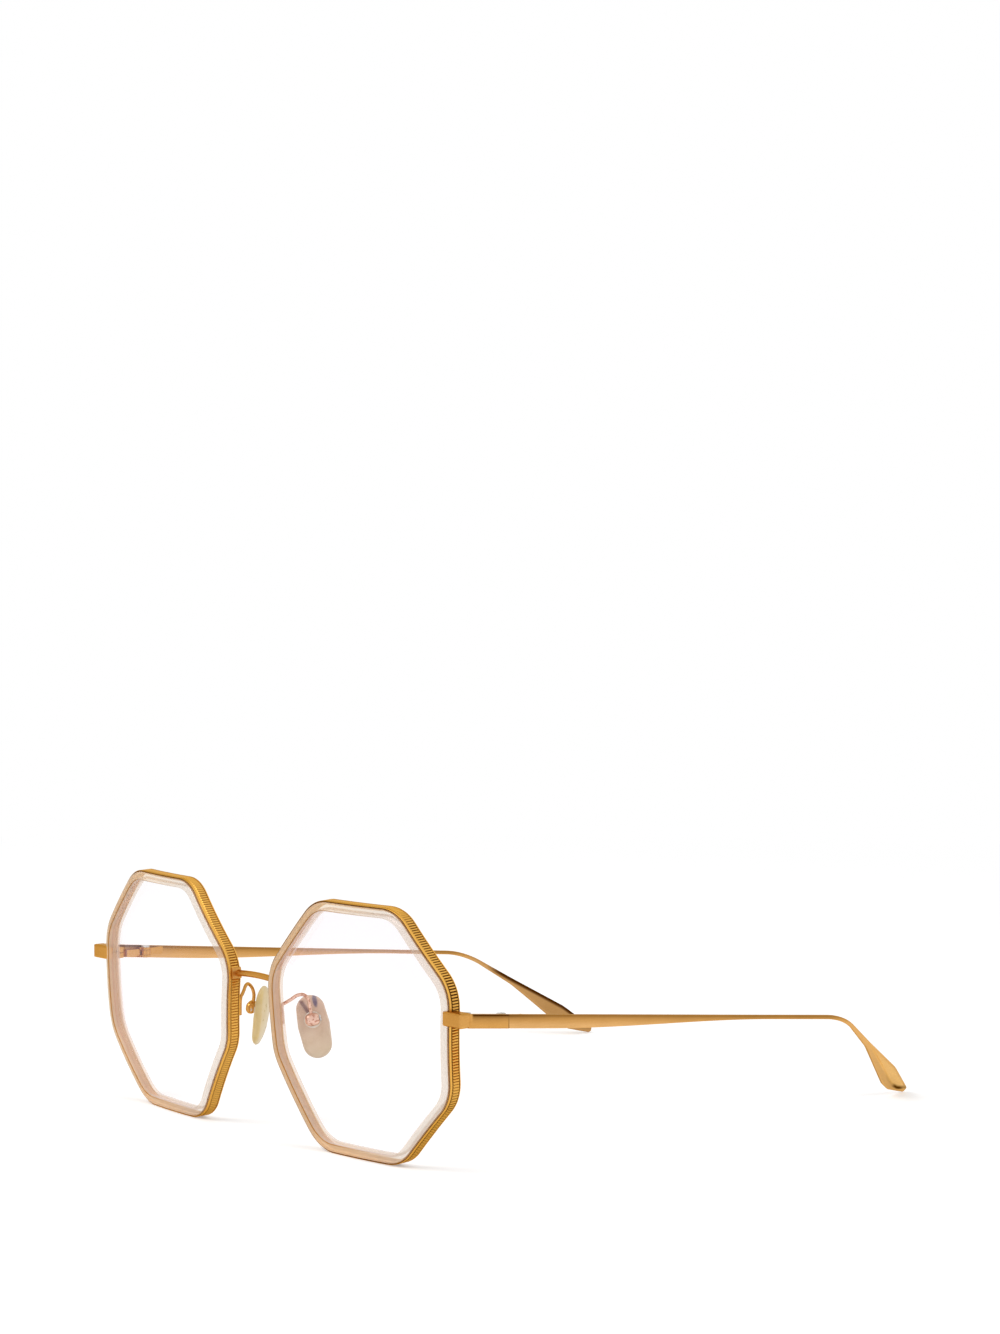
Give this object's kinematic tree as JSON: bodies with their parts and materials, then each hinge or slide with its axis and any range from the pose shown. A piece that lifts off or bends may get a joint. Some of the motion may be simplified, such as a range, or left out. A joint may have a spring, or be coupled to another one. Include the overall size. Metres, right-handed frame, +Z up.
{
  "type": "geometric eyeglasses",
  "caption": "Octagonal metal eyeglasses with clear inner rings, adjustable nose pads and folding temples with flat curved-down tips, standing open on a table.",
  "frame": {"origin": "on the table, under the middle of the open glasses' bounding box", "axes": "+X to the wearer's left, +Y back along the temples, +Z up"},
  "size_m": [0.135, 0.148, 0.0538],
  "materials": {
    "rim_gold": "satin gold plating with a fine coin edge",
    "crystal": "clear polished acetate with a faint peach tint",
    "lens_glass": "clear with an anti-reflection coating",
    "gold": "satin gold plating",
    "temple_gold": "satin gold plating",
    "screw_steel": "plain steel",
    "pad_plastic": "clear soft plastic, faintly yellow",
    "pad_metal": "plain metal seen through the pad"
  },
  "bodies": {
    "front": {"rim_left": "rim_gold", "rim_right": "rim_gold", "ring_left": "crystal", "ring_right": "crystal", "lens_left": "lens_glass", "lens_right": "lens_glass", "bridge": "gold", "bridge_lug_left": "gold", "bridge_lug_right": "gold", "endpiece_left": "gold", "endpiece_right": "gold", "closing_upper_left": "gold", "closing_upper_right": "gold", "closing_lower_left": "gold", "closing_lower_right": "gold", "rim_screws": "screw_steel", "hinge_front_left": "gold", "hinge_front_right": "gold", "hinge_screws": "screw_steel", "pad_arm_left": "gold", "pad_arm_right": "gold", "pad_box_left": "gold", "pad_box_right": "gold", "pad_screws": "screw_steel"},
    "temple_left": {"temple_left": "temple_gold", "hinge_rear_left": "gold"},
    "temple_right": {"temple_right": "temple_gold", "hinge_rear_right": "gold"},
    "pad_left": {"nose_pad_left": "pad_plastic", "pad_eye_left": "pad_metal"},
    "pad_right": {"nose_pad_right": "pad_plastic", "pad_eye_right": "pad_metal"}
  },
  "joints": [
    {"name": "temple_left_fold", "type": "hinge", "parent": "front", "child": "temple_left", "pos_m": [0.06491, -0.05684, 0.03159], "axis": [0, 0, 1], "range_deg": [0, 87]},
    {"name": "temple_right_fold", "type": "hinge", "parent": "front", "child": "temple_right", "pos_m": [-0.06491, -0.05684, 0.03159], "axis": [0, 0, -1], "range_deg": [0, 90]},
    {"name": "nose_pad_left_rock", "type": "hinge", "parent": "front", "child": "pad_left", "pos_m": [0.01102, -0.06453, 0.02584], "axis": [0.5756, 0.7922, 0.2028], "range_deg": [-10, 10]},
    {"name": "nose_pad_right_rock", "type": "hinge", "parent": "front", "child": "pad_right", "pos_m": [-0.01102, -0.06453, 0.02584], "axis": [0.5756, -0.7922, -0.2028], "range_deg": [-10, 10]}
  ]
}
